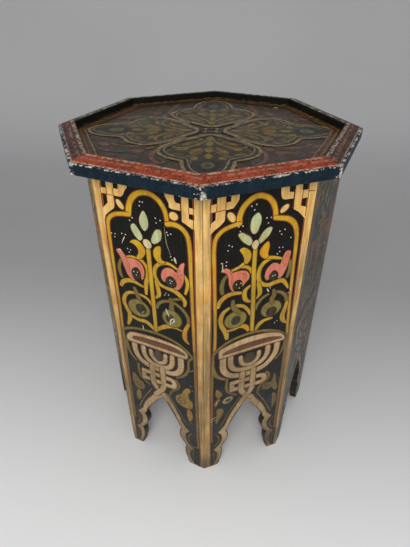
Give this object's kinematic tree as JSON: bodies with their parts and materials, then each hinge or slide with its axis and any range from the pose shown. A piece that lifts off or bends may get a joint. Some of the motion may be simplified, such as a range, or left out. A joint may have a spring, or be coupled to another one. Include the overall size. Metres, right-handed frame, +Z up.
{
  "type": "octagonal tea table",
  "caption": "Octagonal painted wooden tea table: flat side panels with pointed scalloped arches at the foot and a tray-like top inside a raised moulded rim.",
  "frame": {"origin": "on the floor, at the middle of the table", "axes": "+Z up; the front panel faces -Y and the right panel faces +X"},
  "size_m": [0.3234, 0.3275, 0.459],
  "materials": {
    "panel_paint": "aged gloss paint",
    "edge_paint": "aged gloss paint",
    "rim_paint": "aged gloss paint",
    "top_paint": "aged varnish",
    "bare_wood": "bare, darkened",
    "nail_iron": "dull"
  },
  "bodies": {
    "root": {"side_panel_front": "panel_paint", "side_panel_front_right": "panel_paint", "side_panel_right": "panel_paint", "side_panel_back_right": "panel_paint", "side_panel_back": "panel_paint", "side_panel_back_left": "panel_paint", "side_panel_left": "panel_paint", "side_panel_front_left": "panel_paint", "edge_strip_front": "edge_paint", "edge_strip_front_right": "edge_paint", "edge_strip_right": "edge_paint", "edge_strip_back_right": "edge_paint", "edge_strip_back": "edge_paint", "edge_strip_back_left": "edge_paint", "edge_strip_left": "edge_paint", "edge_strip_front_left": "edge_paint", "rim_moulding_front": "rim_paint", "rim_moulding_front_right": "rim_paint", "rim_moulding_right": "rim_paint", "rim_moulding_back_right": "rim_paint", "rim_moulding_back": "rim_paint", "rim_moulding_back_left": "rim_paint", "rim_moulding_left": "rim_paint", "rim_moulding_front_left": "rim_paint", "top_cleat_front": "bare_wood", "top_cleat_front_right": "bare_wood", "top_cleat_right": "bare_wood", "top_cleat_back_right": "bare_wood", "top_cleat_back": "bare_wood", "top_cleat_back_left": "bare_wood", "top_cleat_left": "bare_wood", "top_cleat_front_left": "bare_wood", "corner_block_1": "bare_wood", "corner_block_2": "bare_wood", "corner_block_3": "bare_wood", "corner_block_4": "bare_wood", "corner_block_5": "bare_wood", "corner_block_6": "bare_wood", "corner_block_7": "bare_wood", "corner_block_8": "bare_wood", "top_board": "top_paint", "edge_nails": "nail_iron", "cleat_nails": "nail_iron", "rim_brads": "nail_iron"}
  },
  "joints": []
}
